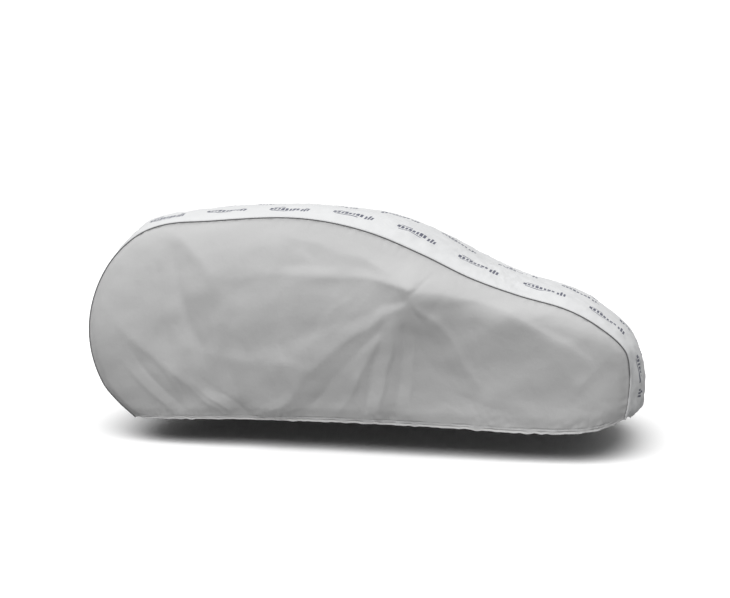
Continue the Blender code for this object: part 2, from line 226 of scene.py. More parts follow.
class Noise(NamedTuple):
    """Smooth noise over two lengths, made of waves that cross at all angles."""

    seed: int
    length: float  # from swell to swell
    height: float = 1.0
    stretch: float = 1.0  # how much longer the swells are along their run
    turned: float = 0.0  # radians from the first length to their run
    pace: float = 1.0  # how fast the noise changes along the second length, against the first

    def at(self, a, b=0.0, seeds=0):
        """The noise at places, with seeds added to its own seed."""
        dice = np.random.default_rng(self.seed + seeds)
        way = dice.uniform(0, math.pi, WAVE_COUNT)
        lengths = self.length * dice.uniform(1 - WAVE_SPREAD, 1 + WAVE_SPREAD, WAVE_COUNT)
        phases = dice.uniform(0, math.tau, WAVE_COUNT)
        number = math.tau / lengths
        along, across = number * np.cos(way) / self.stretch, number * np.sin(way)
        per_a = along * math.cos(self.turned) - across * math.sin(self.turned)
        per_b = along * math.sin(self.turned) + across * math.cos(self.turned)
        b = b * self.pace
        total = np.zeros(np.broadcast(a, b).shape)
        for p, q, phase in zip(per_a, per_b, phases):
            total += np.cos(p * a + q * b + phase)
        return self.height * (total * math.sqrt(2 / WAVE_COUNT))


# Added to the seeds, so that no two cloths are uneven alike.
FAR_SIDE_SEEDS = 100
FAR_SIDE_FOLD_SEEDS = 40
STRIP_SEEDS = 50

# The side panels.
FOLD_STRAY_X = Noise(1, 0.36, 0.008)  # how far the folds wander off their lines
FOLD_STRAY_Z = Noise(2, 0.36, 0.008)
FOLD_UNEVENNESS = Noise(201, 0.36)
FOLD_UNEVEN = 0.0022  # how much a fold's height varies along it
FOLD_UNEVEN_SHARE = 0.35  # of its height, at most
SAG = Noise(11, 0.55, 0.0032, stretch=1.6, turned=0.5)
DENT = Noise(12, 0.16, 0.0008, stretch=1.6, turned=0.3)
RIPPLE = Noise(14, 0.05, 0.00007, stretch=1.3)
FLAT_BY_SEAM = 0.12  # how far from the seam the unevenness is full
FLAT_BY_HEM = 0.15  # how high above the hem's edge it is full
UNEVEN_AT_HEM = 0.35  # the share of it at the hem's edge

# Faint pulls, laid at random along the ways in which the cloth is drawn: out from the mirror, and down from
# the seam.
PULL_SEED = 71
PULL_COUNT = 230
PULL_X = (-1.70, 1.70)
PULL_Z = (0.25, 1.40)
PULL_LENGTHS = (0.18, 0.60)
PULL_SLIMNESS = (0.08, 0.17)  # width over length
PULL_TAPER = 0.6  # the width of a pull's start, as a share of its end's
PULL_TILT = 0.036  # how steep a pull's flanks are at most, as a share of its width
PULL_TURN = 0.30  # radians by which pulls stray from the cloth's way
PULL_LEAN = 0.5
PULL_BOW = 0.08  # of its length, at most
MIRROR_SWAY = 0.75  # how far from the mirror its pulls are felt
REAR_WAY = -1.25  # radians from level, of the cloth's way far behind the mirror
FRONT_WAY = -0.55  # and far before it

# The hem is turned up and sewn, and gathered a little. Below its stitching it flares out.
HEM_HEIGHT = 0.028
HEM_START = 0.10  # the length at either end of a side panel over which its hem sets in
HEM_TUCK = 0.010  # how far the gathers draw the cloth in above the hem
HEM_TUCK_RISE = 0.105
HEM_FLARE = 0.0016  # how far the turned edge stands out
HEM_FLARE_HEIGHT = 0.010
HEM_DIP = 0.0034  # how deep the doubled cloth falls in above the turned edge
HEM_DIP_HEIGHT = 0.0125
HEM_DIP_WIDTH = 0.0042
HEM_GROOVE = 0.0029  # how deep the stitching lies
HEM_GROOVE_WIDTH = 0.0045
HEM_GROOVE_LEAST = 0.3  # of its depth, where it is shallowest
DIP_PATCHES = Noise(35, 0.13, 0.5)
GROOVE_PATCHES = Noise(36, 0.13, 0.5)
PATCH_MIDDLE = 0.6  # the share of both, before it is softened, where their noise is 0
HEM_GATHER = 0.00156
HEM_GATHER_LEAST = 0.25  # of its height, where the hem is gathered least
HEM_GATHERS = Noise(31, 0.07, pace=0.35)
FINE_HEM_GATHERS = Noise(32, 0.033, 0.6, pace=0.5)
GATHER_PATCHES = Noise(33, 0.5, 0.6)
GATHER_PATCH_MIDDLE = 0.5  # the same for the gathers
GATHER_RISE = 0.07  # how high above the stitching the gathers fade out
EDGE_STRAY = Noise(34, 0.09, 0.0016)  # how far the edge strays up and down
EDGE_STRAY_RISE = 0.03

# The seam stands proud on its doubled edges: the strip rolls over to it, and the panel falls in below it.
ROLL_HEIGHT = 0.004
ROLL_WIDTH = 0.018
SEAM_HOLLOW = 0.0042  # how far the panel falls in
SEAM_HOLLOW_REACH = 0.024  # from the seam to the hollow's deepest place
SEAM_PUCKERS = Noise(22, 0.05, 0.0014, pace=0.3)
PUCKER_START = 0.006  # how far from the seam they are full
PUCKER_REACH = 0.045
PIPING_UNEVENNESS = Noise(61, 0.03, 0.04)
PIPING_THICKEST = 1.06  # as a share of its radius

# Low at the nose the strip's edge laps over the piping, which sinks in behind it.
LAP_BELOW = 0.57  # height above the ground
LAP_OVER = 0.13  # the height over which it sets in
LAP_REACH = 0.0075
LAP_SINK = (-0.006, 0.005, 0.0)  # how far the piping shifts under it

# The top strip.
STRIP_SAG = Noise(41, 0.50, 0.0030, stretch=1.3)
STRIP_DENT = Noise(42, 0.15, 0.0015)
STRIP_CRUMPLES = Noise(43, 0.09)
STRIP_CRUMPLE_HEIGHT = 0.0010
COWL_CRUMPLES = Noise(48, 0.055)  # where the strip turns from the windscreen to the bonnet
COWL_CRUMPLE_HEIGHT = 0.0022
COWL_X = 0.98
COWL_REACH = 0.20
STRIP_FLAT_BY_SEAM = 0.10  # how far from the seam the strip's unevenness is full
END_GATHER = 0.0085  # height of the gathers over the strip's two hems
END_GATHERS = Noise(46, 0.075, pace=0.25)
FINE_END_GATHERS = Noise(47, 0.04, 0.5, pace=0.2)
END_GATHER_RISE = 0.32
END_HEM_START = 0.05  # how far from the seam the strip's gathers and hems are full


# ---- Curves --------
class Curve:
    """A smooth curve through a table's rows, read by a share of its length in the first two columns."""

    def __init__(self, rows):
        self.rows = np.array(rows, float)
        steps = np.linalg.norm(np.diff(self.rows[:, :2], axis=0), axis=1)
        self.knots = np.concatenate(([0.0], np.cumsum(steps)))
        self.length = self.knots[-1]
        last = len(self.rows) - 1
        before = np.maximum(np.arange(last + 1) - 1, 0)
        after = np.minimum(np.arange(last + 1) + 1, last)
        run = (self.knots[after] - self.knots[before])[:, None]
        self.slopes = (self.rows[after] - self.rows[before]) / run

    def at(self, share):
        along = np.clip(share, 0.0, 1.0) * self.length
        i = np.clip(np.searchsorted(self.knots, along) - 1, 0, len(self.rows) - 2)
        run = (self.knots[i + 1] - self.knots[i])[..., None]
        t = (along - self.knots[i])[..., None] / run
        ease, rest = t * t * (3 - 2 * t), 1 - t
        a, b, m, n = self.rows[i], self.rows[i + 1], self.slopes[i], self.slopes[i + 1]
        return a + (b - a) * ease + run * t * rest * (rest * m - t * n)

    def share_of_row(self, i):
        return self.knots[i] / self.length


SEAM = Curve(TAIL_ARC + TOP + NOSE_ARC)
TAIL_CORNER = SEAM.share_of_row(len(TAIL_ARC) - 1)
NOSE_CORNER = SEAM.share_of_row(len(TAIL_ARC + TOP))
HEM_LINE = Curve(HEM)
CREASE_SOFTNESS = 0.25
CREASE_MIDDLE = 0.8  # about the middle height of a folded noise


def creased(noise):
    """The noise folded along its zero lines, which turns them to creases."""
    return np.sqrt(noise**2 + CREASE_SOFTNESS**2) - CREASE_MIDDLE


def smooth(share):
    """From 0 to 1 with a soft start and end."""
    t = np.clip(share, 0.0, 1.0)
    return t * t * (3 - 2 * t)


def from_least(least, share):
    """The share, which runs from 0 to 1, brought to run from least to 1."""
    return least + (1 - least) * share


def normalised(vectors):
    return vectors / np.linalg.norm(vectors, axis=-1, keepdims=True)


# ---- The pattern's surfaces --------
def seam_point(share):
    """A point of the right-hand seam."""
    s = SEAM.at(share)
    return np.stack([s[..., 0], -s[..., 2], s[..., 1]], -1)


def inward(share):
    """The way from the seam into the side panel, square to the seam in the side view."""
    before = seam_point(np.maximum(share - TANGENT_STEP, 0))
    ahead = seam_point(np.minimum(share + TANGENT_STEP, 1)) - before
    return normalised(np.stack([ahead[..., 2], 0 * ahead[..., 0], -ahead[..., 0]], -1))


def strip_point(share, across):
    """A point of the strip, with across from -1 at the right-hand seam to 1 at the left-hand one."""
    s = SEAM.at(share)
    rise = 1 - np.abs(across) ** STRIP_POWER
    return np.stack(
        [
            s[..., 0] + (s[..., 3] - s[..., 0]) * rise,
            s[..., 2] * across,
            s[..., 1] + (s[..., 4] - s[..., 1]) * rise,
        ],
        -1,
    )


def lap(share):
    """How far the strip's edge laps over the piping, from 0 to 1."""
    x, z = seam_point(share)[..., 0], seam_point(share)[..., 2]
    return smooth((LAP_BELOW - z) / LAP_OVER) * (x > 0)


def strip_edge(share):
    """The strip's edge as a share of its half width, beside the piping or lapped over it."""
    return 1 - (PIPING_RADIUS + SEAM_CLEARANCE - LAP_REACH * lap(share)) / SEAM.at(share)[..., 2]


def panel_edge(share):
    """A point of the panel's edge along the seam, beside the piping."""
    way = normalised(inward(share) + np.array([0, -EDGE_LEAN, 0]))
    return seam_point(share) + way * (PIPING_RADIUS + SEAM_CLEARANCE)


def panel_outline(u, v):
    """A point of the smooth patch between hem, seam and both arcs.

    u runs from tail to nose, and v from hem to seam.
    """
    u_, v_ = u[..., None], v[..., None]
    zero, one = np.zeros_like(u), np.ones_like(u)
    tail_foot, nose_foot = panel_edge(zero), panel_edge(one)
    tail_top, nose_top = panel_edge(one * TAIL_CORNER), panel_edge(one * NOSE_CORNER)
    x, z, half_width = np.moveaxis(HEM_LINE.at(u), -1, 0)
    hem = np.stack([x, -half_width, z], -1)
    hem += (tail_foot - [HEM[0].x, -HEM[0].half_width, HEM[0].z]) * (1 - u_)
    hem += (nose_foot - [HEM[-1].x, -HEM[-1].half_width, HEM[-1].z]) * u_
    top = panel_edge(TAIL_CORNER + (NOSE_CORNER - TAIL_CORNER) * u)
    tail = panel_edge(TAIL_CORNER * v)
    nose = panel_edge(1 - (1 - NOSE_CORNER) * v)
    tail_corners = (1 - v_) * tail_foot + v_ * tail_top
    nose_corners = (1 - v_) * nose_foot + v_ * nose_top
    corners = (1 - u_) * tail_corners + u_ * nose_corners
    return (1 - v_) * hem + v_ * top + (1 - u_) * tail + u_ * nose - corners


def flank_bulge(u, v):
    """How far the flank stands out past that patch."""
    forward = smooth((u - FRONT_START) / (FRONT_FULL - FRONT_START))
    bulge = FLANK_BULGE + (FRONT_BULGE - FLANK_BULGE) * forward
    height = FLANK_BULGE_HEIGHT + (FRONT_BULGE_HEIGHT - FLANK_BULGE_HEIGHT) * forward
    return bulge * np.sin(math.pi * v**height) * (1 - np.abs(2 * u - 1) ** FLANK_END_POWER)


def fold_height(x, z, fold, drift):
    """How far one fold pushes the cloth out at places in the side view."""
    start_x, end_x = fold.from_x + drift, fold.to_x + drift
    run_x, run_z = end_x - start_x, fold.to_z - fold.from_z
    length = math.hypot(run_x, run_z)
    away_x, away_z = x - start_x, z - fold.from_z
    along = (away_x * run_x + away_z * run_z) / length**2
    t = np.clip(along, 0.0, 1.0)
    off = (away_x * run_z - away_z * run_x) / length + fold.bow * 4 * t * (1 - t)
    width = fold.from_width + (fold.to_width - fold.from_width) * t
    flank = width * (1 - fold.lean * np.sign(off))
    height = fold.from_height + (fold.to_height - fold.from_height) * t
    past = (along - t) * length
    fall = FOLD_FALL * (np.hypot(off / flank, FOLD_CREST) - FOLD_CREST)
    return height * np.exp(-fall - (past / (FOLD_END_SHARE * width)) ** 2)


def slack(x, z, mirror):
    """The main folds together, with the door mirror's tent."""
    height = np.zeros_like(x)
    for i, fold in enumerate(MAIN_FOLDS):
        drift = FAR_SIDE_DRIFT * math.sin(FAR_SIDE_TURN * i) if mirror else 0.0
        share = min(FOLD_UNEVEN_SHARE, FOLD_UNEVEN / max(abs(fold.from_height), abs(fold.to_height)))
        uneven = 1 + share * FOLD_UNEVENNESS.at(x, z, i + FAR_SIDE_FOLD_SEEDS * mirror)
        height += fold_height(x, z, fold, drift) * uneven
    rise = (z - MIRROR_Z) / np.where(z > MIRROR_Z, MIRROR_SPREAD_UP, MIRROR_SPREAD_DOWN)
    away = np.sqrt(((x - MIRROR_X) / MIRROR_SPREAD) ** 2 + rise**2 + MIRROR_ROUND**2) - MIRROR_ROUND
    return height + MIRROR_REACH * np.exp(-away)


def grid_normals(points):
    """The outward direction at each point of a grid of points."""
    along = np.gradient(points, axis=0)
    up = np.gradient(points, axis=1)
    return normalised(np.cross(along, up))


def lengths_from_start(points, axis):
    """How far each point of a grid lies from the grid's start, measured over the cloth along one axis."""
    steps = np.linalg.norm(np.diff(points, axis=axis), axis=-1)
    pad = [(0, 0), (0, 0)]
    pad[axis] = (1, 0)
    return np.pad(np.cumsum(steps, axis=axis), pad)


# ---- Side panels --------
def way_of_cloth(x, z):
    """The direction in which the cloth is drawn at a place of the side view."""
    from_mirror = math.atan2(z - MIRROR_Z, x - MIRROR_X)
    if from_mirror > 0:
        from_mirror -= math.pi
    felt = math.exp(-(math.hypot(x - MIRROR_X, z - MIRROR_Z) / MIRROR_SWAY) ** 2)
    far = REAR_WAY if x < MIRROR_X else FRONT_WAY
    return felt * from_mirror + (1 - felt) * far


def faint_pulls(mirror):
    """Many slight folds of random size along the cloth's way."""
    dice = np.random.default_rng(PULL_SEED + mirror)
    pulls = []
    for _ in range(PULL_COUNT):
        x, z = dice.uniform(*PULL_X), dice.uniform(*PULL_Z)
        turn = way_of_cloth(x, z) + dice.normal(0, PULL_TURN)
        length = dice.uniform(*PULL_LENGTHS)
        width = length * dice.uniform(*PULL_SLIMNESS)
        height = dice.uniform(-1, 1) * PULL_TILT * width
        reach_x, reach_z = math.cos(turn) * length / 2, math.sin(turn) * length / 2
        lean = dice.uniform(-PULL_LEAN, PULL_LEAN)
        bow = dice.uniform(-PULL_BOW, PULL_BOW) * length
        ends = (x - reach_x, z - reach_z, x + reach_x, z + reach_z)
        pulls.append(Fold(*ends, bow, PULL_TAPER * width, width, height, height, lean))
    return pulls


def panel_rows():
    """Where the panel's rows lie between hem and seam: closest over the hem, and close at the seam."""
    hem = np.linspace(0, HEM_SHARE, HEM_ROWS + 1)
    even = np.linspace(0, 1, PANEL_ROWS - HEM_ROWS + 1)
    crowded = even - ROW_CROWDING * np.sin(math.tau * even) / math.tau
    return np.concatenate([hem[:-1], HEM_SHARE + (1 - HEM_SHARE) * crowded])


def hem_relief(above, along, seeds, tuck):
    """How far the hem and the gathers over it stand out, at a height above the cloth's edge."""
    flare = HEM_FLARE * (1 - smooth(above / HEM_FLARE_HEIGHT))
    flare = flare - tuck * (1 - smooth(above / HEM_TUCK_RISE))
    dipped = smooth(PATCH_MIDDLE + DIP_PATCHES.at(along, seeds=seeds))
    dip = HEM_DIP * dipped * np.exp(-(((above - HEM_DIP_HEIGHT) / HEM_DIP_WIDTH) ** 2))
    sewn = smooth(PATCH_MIDDLE + GROOVE_PATCHES.at(along, seeds=seeds))
    sewn = from_least(HEM_GROOVE_LEAST, sewn)
    groove = HEM_GROOVE * sewn * np.exp(-(((above - HEM_HEIGHT) / HEM_GROOVE_WIDTH) ** 2))
    gathers = creased(HEM_GATHERS.at(along, above, seeds)) + FINE_HEM_GATHERS.at(along, above, seeds)
    gathered = smooth(GATHER_PATCH_MIDDLE + GATHER_PATCHES.at(along, seeds=seeds))
    fade = np.exp(-np.maximum(above - HEM_HEIGHT, 0) / GATHER_RISE)
    return flare - dip - groove + HEM_GATHER * gathers * fade * from_least(HEM_GATHER_LEAST, gathered)


def panel_points(mirror):
    """The outer face of a side panel as a grid of points, with its pattern's flat coordinates."""
    u, v = np.meshgrid(np.linspace(0, 1, PANEL_COLUMNS + 1), panel_rows(), indexing="ij")
    points = panel_outline(u, v)
    x, z = points[..., 0], points[..., 2]
    flat = np.stack([x, z], -1)
    seeds = FAR_SIDE_SEEDS * mirror
    strayed_x, strayed_z = x + FOLD_STRAY_X.at(x, z, seeds), z + FOLD_STRAY_Z.at(x, z, seeds)
    from_edge = smooth(np.minimum(np.minimum(u, 1 - u), 1 - v) / FOLD_EDGE_SHARE)
    out = flank_bulge(u, v) + slack(strayed_x, strayed_z, mirror) * from_edge
    points = points - np.stack([0 * out, out, 0 * out], -1)

    above = lengths_from_start(points, 1)
    from_top = above[:, -1:] - above
    from_tail = lengths_from_start(points, 0)
    from_end = np.minimum(from_tail, from_tail[-1:] - from_tail)
    from_seam = np.minimum(from_end, from_top)

    relief = SAG.at(x, z, seeds) + DENT.at(x, z, seeds) + RIPPLE.at(x, z, seeds)
    for pull in faint_pulls(mirror):
        relief += fold_height(strayed_x, strayed_z, pull, 0.0)
    relief *= smooth(from_seam / FLAT_BY_SEAM) * from_least(UNEVEN_AT_HEM, smooth(above / FLAT_BY_HEM))
    seam_run = np.where(from_top < from_end, x, z)
    puckers = SEAM_PUCKERS.at(seam_run, from_seam, seeds)
    relief += puckers * smooth(from_seam / PUCKER_START) * np.exp(-from_seam / PUCKER_REACH)
    hollow = from_seam / SEAM_HOLLOW_REACH
    relief -= SEAM_HOLLOW * hollow * np.exp(1 - hollow)
    start = smooth(from_end / HEM_START)
    relief += hem_relief(above, x, seeds, HEM_TUCK) * start
    points = points + grid_normals(points) * relief[..., None]
    points[..., 2] += EDGE_STRAY.at(x, seeds=seeds) * start * np.exp(-above / EDGE_STRAY_RISE)
    return points, flat


# ---- Top strip --------
def strip_columns():
    """Where the strip's columns lie across it: close together beside each seam."""
    middle = np.linspace(-1 + EDGE_SHARE, 1 - EDGE_SHARE, STRIP_COLUMNS + 1 - 2 * EDGE_COLUMNS)
    edge = np.linspace(1 - EDGE_SHARE, 1, EDGE_COLUMNS + 1)[1:]
    return np.concatenate([-edge[::-1], middle, edge])


def strip_stations():
    """Where the strip's stations lie along it: close together over the hem at either end."""
    end = np.linspace(0, END_SHARE, END_STATIONS + 1)
    middle = np.linspace(END_SHARE, 1 - END_SHARE, STRIP_STATIONS - 2 * END_STATIONS + 1)
    return np.concatenate([end[:-1], middle, 1 - end[-2::-1]])


def strip_points():
    """The outer face of the top strip as a grid of points, with its pattern's flat coordinates."""
    share, across = np.meshgrid(strip_stations(), strip_columns(), indexing="ij")
    points = strip_point(share, across * strip_edge(share))
    run = lengths_from_start(points, 0)
    middle_run = run[:, STRIP_COLUMNS // 2, None] + 0 * run
    from_end = np.minimum(run, run[-1:] - run)
    from_right = lengths_from_start(points, 1)
    from_seam = np.minimum(from_right, from_right[:, -1:] - from_right)
    x, y = points[..., 0], points[..., 1]

    relief = STRIP_SAG.at(middle_run, y) + STRIP_DENT.at(middle_run, y)
    relief += STRIP_CRUMPLE_HEIGHT * creased(STRIP_CRUMPLES.at(middle_run, y))
    at_cowl = np.exp(-(((x - COWL_X) / COWL_REACH) ** 2))
    relief += COWL_CRUMPLE_HEIGHT * creased(COWL_CRUMPLES.at(middle_run, y)) * at_cowl
    relief *= smooth(from_seam / STRIP_FLAT_BY_SEAM)
    relief += ROLL_HEIGHT * (1 + lap(share)) * np.sin(math.pi * np.clip(from_seam / ROLL_WIDTH, 0, 1))
    start = smooth(from_seam / END_HEM_START)
    gathers = creased(END_GATHERS.at(y, from_end)) + FINE_END_GATHERS.at(y, from_end)
    relief += END_GATHER * gathers * np.exp(-((from_end / END_GATHER_RISE) ** 2)) * start
    relief += hem_relief(from_end, y, STRIP_SEEDS, 0.0) * start
    points = points + grid_normals(points) * relief[..., None]
    return points, np.stack([middle_run, y], -1)


# ---- Making pieces --------
def finish_piece(obj, material):
    """Give a piece its finish. The whole cover is one body, so every piece rides with it."""
    obj.data.materials.append(material)
    bpy.context.scene.collection.objects.link(obj)
    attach(obj, "root")
    return obj


def to_frame(points, mirror):
    """Points of the right-hand side in the row's frame, on the left-hand side where mirror is set."""
    return points * ([1, -1, 1] if mirror else [1, 1, 1]) + TO_ROOF


def cloth_sheet(name, points, flat, mirror):
    """A thin closed sheet of cloth whose outer face runs through a grid of points."""
    columns, rows = points.shape[:2]
    bm = bmesh.new()
    bmesh.ops.create_grid(bm, x_segments=columns - 1, y_segments=rows - 1, size=1)
    if mirror:
        bmesh.ops.reverse_faces(bm, faces=bm.faces)
    mesh = bpy.data.meshes.new(name)
    bm.to_mesh(mesh)
    bm.free()

    places = np.empty(len(mesh.vertices) * 3, np.float32)
    mesh.vertices.foreach_get("co", places)
    places = places.reshape(-1, 3)
    column = np.rint((places[:, 0] + 1) / 2 * (columns - 1)).astype(int)
    row = np.rint((places[:, 1] + 1) / 2 * (rows - 1)).astype(int)
    placed = to_frame(points[column, row], mirror)
    mesh.vertices.foreach_set("co", placed.astype(np.float32).ravel())

    corners = np.empty(len(mesh.loops), int)
    mesh.loops.foreach_get("vertex_index", corners)
    pattern = mesh.uv_layers.new(name="pattern")
    pattern.data.foreach_set("uv", flat[column, row][corners].astype(np.float32).ravel())
    mesh.shade_smooth()
    obj = bpy.data.objects.new(name, mesh)
    thicken = obj.modifiers.new("cloth", "SOLIDIFY")
    thicken.thickness = CLOTH
    thicken.offset = -1
    return obj


def cords(name, lines, radius, sides):
    """Round cords along lines of points, each with a share of the radius at every point, as one mesh."""
    curve = bpy.data.curves.new(name, "CURVE")
    curve.dimensions = "3D"
    curve.bevel_depth = radius
    curve.bevel_resolution = sides // 2 - 2
    curve.use_fill_caps = True
    for points, thickness in lines:
        line = curve.splines.new("POLY")
        line.points.add(len(points) - 1)
        line.points.foreach_set("co", np.column_stack([points, np.ones(len(points))]).ravel())
        line.points.foreach_set("radius", thickness)
    guide = bpy.data.objects.new(name + "_guide", curve)
    bpy.context.scene.collection.objects.link(guide)
    depsgraph = bpy.context.evaluated_depsgraph_get()
    mesh = bpy.data.meshes.new_from_object(guide.evaluated_get(depsgraph))
    mesh.name = name
    bpy.data.objects.remove(guide)
    mesh.shade_smooth()
    return bpy.data.objects.new(name, mesh)


def seam_piping(name, mirror):
    """A cord in dark bias tape along one seam, a little uneven as sewn piping is."""
    share = np.linspace(0, 1, PIPING_POINTS)
    thickness = np.minimum(1 + PIPING_UNEVENNESS.at(share * SEAM.length, seeds=mirror), PIPING_THICKEST)
    points = seam_point(share) + lap(share)[:, None] * np.array(LAP_SINK)
    return cords(name, [(to_frame(points, mirror), thickness)], PIPING_RADIUS, PIPING_SIDES)


# ---- Stitching --------
THREAD_RADIUS = 0.0007
THREAD_SIDES = 6
STITCH_LENGTH = 0.0062
STITCH_PITCH = 0.0085
STITCH_SINK = 0.0004  # how deep a stitch's ends go into the cloth
SEAM_STITCH_FROM = 0.009  # the seam's topstitching on the strip, from the strip's edge
STRIP_STITCH_MARGIN = 0.01  # the length at either end of a route that has no stitches
PANEL_STITCH_MARGIN = 0.02


class StitchPoint(NamedTuple):
    """A point of the thread in one stitch."""

    along: float  # as a share of the stitch's length
    rise: float  # over the cloth
    thickness: float  # as a share of the thread's


STITCH = [
    StitchPoint(0.0, -STITCH_SINK, 0.6),
    StitchPoint(0.2, 0.3 * THREAD_RADIUS, 1.0),
    StitchPoint(0.5, 0.6 * THREAD_RADIUS, 1.0),
    StitchPoint(0.8, 0.3 * THREAD_RADIUS, 1.0),
    StitchPoint(1.0, -STITCH_SINK, 0.6),
]


def line_at(points, depth, wanted):
    """The line on a grid of points where depth, which grows along each column, reaches a value."""
    line = np.empty((len(points), 3))
    for column, (spots, depths) in enumerate(zip(points, depth)):
        for axis in range(3):
            line[column, axis] = np.interp(wanted, depths, spots[:, axis])
    return line


def stitches(name, route, outwards, mirror, margin):
    """Thread along a route on the cloth, one short piece for each stitch."""
    steps = np.linalg.norm(np.diff(route, axis=0), axis=1)
    along = np.concatenate(([0.0], np.cumsum(steps)))
    shares, rise, thickness = np.array(STITCH).T
    lines = []
    for start in np.arange(margin, along[-1] - margin, STITCH_PITCH):
        spots = start + STITCH_LENGTH * shares
        points = np.column_stack([np.interp(spots, along, route[:, axis]) for axis in range(3)])
        ways = np.column_stack([np.interp(spots, along, outwards[:, axis]) for axis in range(3)])
        lines.append((to_frame(points + ways * rise[:, None], mirror), thickness))
    return cords(name, lines, THREAD_RADIUS, THREAD_SIDES)


# ---- Finishes --------
class Grain(NamedTuple):
    """A noise that colours or roughens a finish."""

    per_metre: float
    detail: float
    roughness: float


CLOUDS = Grain(5.0, 4.0, 0.55)  # the broad patches of a cloth's tone
FIBRES = Grain(420.0, 5.0, 0.7)
CREASES = Grain(26.0, 3.0, 0.6)
WORN_INK = Grain(300.0, 3.0, 0.6)
WEAVE = Grain(900.0, 2.0, 0.6)
WORN_TAPE = Grain(14.0, 3.0, 0.5)
TWIST = Grain(1600.0, 2.0, 0.6)

FIBRE_STRETCH = (0.35, 1.0, 1.0)  # drawn out along the cloth's run
PRESSED_POINTS = 280.0  # per metre
PRESSED_TURN = 45  # degrees from the cloth's run to their rows
ROUGHNESS_SPREAD = 0.06  # from a cloth's middle roughness to its least and most


class Finish:
    """A procedural material under construction, with helpers that add and join its nodes."""

    def __init__(self, name):
        self.material = bpy.data.materials.new(name)
        self.material.use_nodes = True
        self.tree = self.material.node_tree
        self.shader = self.tree.nodes["Principled BSDF"]

    def node(self, kind, **settings):
        node = self.tree.nodes.new(kind)
        for name, value in settings.items():
            setattr(node, name, value)
        return node

    def join(self, output, socket):
        self.tree.links.new(output, socket)

    def noise(self, vector, grain):
        node = self.node("ShaderNodeTexNoise")
        node.inputs["Scale"].default_value = grain.per_metre
        node.inputs["Detail"].default_value = grain.detail
        node.inputs["Roughness"].default_value = grain.roughness
        self.join(vector, node.inputs["Vector"])
        return node.outputs["Fac"]

    def mapped(self, vector, **settings):
        """The vector turned or scaled as the settings say."""
        node = self.node("ShaderNodeMapping")
        for name, value in settings.items():
            node.inputs[name].default_value = value
        self.join(vector, node.inputs["Vector"])
        return node.outputs["Vector"]

    def spread(self, value, low, high, soft=False):
        """The value mapped from 0..1 to low..high."""
        node = self.node("ShaderNodeMapRange", interpolation_type="SMOOTHSTEP" if soft else "LINEAR")
        node.inputs["To Min"].default_value = low
        node.inputs["To Max"].default_value = high
        self.join(value, node.inputs["Value"])
        return node.outputs["Result"]

    def maths(self, operation, a, b=None):
        """A number worked out from a and, where the operation takes two, from b."""
        node = self.node("ShaderNodeMath", operation=operation)
        self.join(a, node.inputs[0])
        if isinstance(b, float):
            node.inputs[1].default_value = b
        elif b is not None:
            self.join(b, node.inputs[1])
        return node.outputs[0]

    def from_middle(self, pitches, pitch):
        """How far a place lies from the middle of its pitch, where pitches counts them up to it."""
        return self.maths("MULTIPLY", self.maths("ADD", self.maths("FRACT", pitches), -0.5), pitch)

    def inside(self, value, middle, reach):
        """1 where the value lies within reach of middle, with a soft edge, and 0 outside."""
        away = self.maths("ABSOLUTE", self.maths("ADD", value, -middle))
        node = self.node("ShaderNodeMapRange", interpolation_type="SMOOTHSTEP")
        node.inputs["From Min"].default_value = reach + PRINT_SOFTNESS
        node.inputs["From Max"].default_value = reach - PRINT_SOFTNESS
        self.join(away, node.inputs["Value"])
        return node.outputs["Result"]

    def tinted(self, colour, tone):
        """The colour, made lighter or darker by a tone about 1."""
        grey = self.node("ShaderNodeCombineColor")
        for channel in ("Red", "Green", "Blue"):
            self.join(tone, grey.inputs[channel])
        tint = self.node("ShaderNodeMix", data_type="RGBA", blend_type="MULTIPLY")
        tint.inputs["Factor"].default_value = 1.0
        tint.inputs["A"].default_value = (*colour, 1)
        self.join(grey.outputs["Color"], tint.inputs["B"])
        return tint.outputs["Result"]

    def bump(self, height, distance, strength, under=None):
        node = self.node("ShaderNodeBump")
        node.inputs["Distance"].default_value = distance
        node.inputs["Strength"].default_value = strength
        self.join(height, node.inputs["Height"])
        if under is not None:
            self.join(under, node.inputs["Normal"])
        return node.outputs["Normal"]


class Dash(NamedTuple):
    """A printed dash, placed from the middle of its group."""

    along: float
    across: float
    half_length: float
    half_width: float


# A plain print of small blocks and lines, in rows along the strip.
PRINT_PITCH = 0.44  # from group to group along a row
PRINT_ROW_PITCH = 0.40
PRINT_STAGGER = 0.23  # how far each second row is shifted along
PRINT_INK = (0.055, 0.06, 0.10)
PRINT_WEAR = (0.75, 1.05)  # how much ink is left where it is thinnest and thickest
PRINT_SOFTNESS = 0.0012  # of a dash's edges
BLOCK_COUNT = 8
BLOCK_START = -0.115  # the first block's place from the middle of its group
BLOCK_PITCH = 0.026
BLOCK_HALF_LENGTHS = (0.0105, 0.0089, 0.0073)  # of three blocks in turn
PRINT_GROUP = [
    Dash(BLOCK_START + BLOCK_PITCH * i, 0.004, BLOCK_HALF_LENGTHS[i % 3], 0.025) for i in range(BLOCK_COUNT)
] + [
    Dash(-0.030, -0.040, 0.080, 0.0055),
    Dash(-0.070, 0.048, 0.040, 0.0055),
    Dash(0.100, -0.012, 0.0070, 0.032),
    Dash(0.121, 0.000, 0.0070, 0.048),
    Dash(0.142, -0.012, 0.0070, 0.032),
]


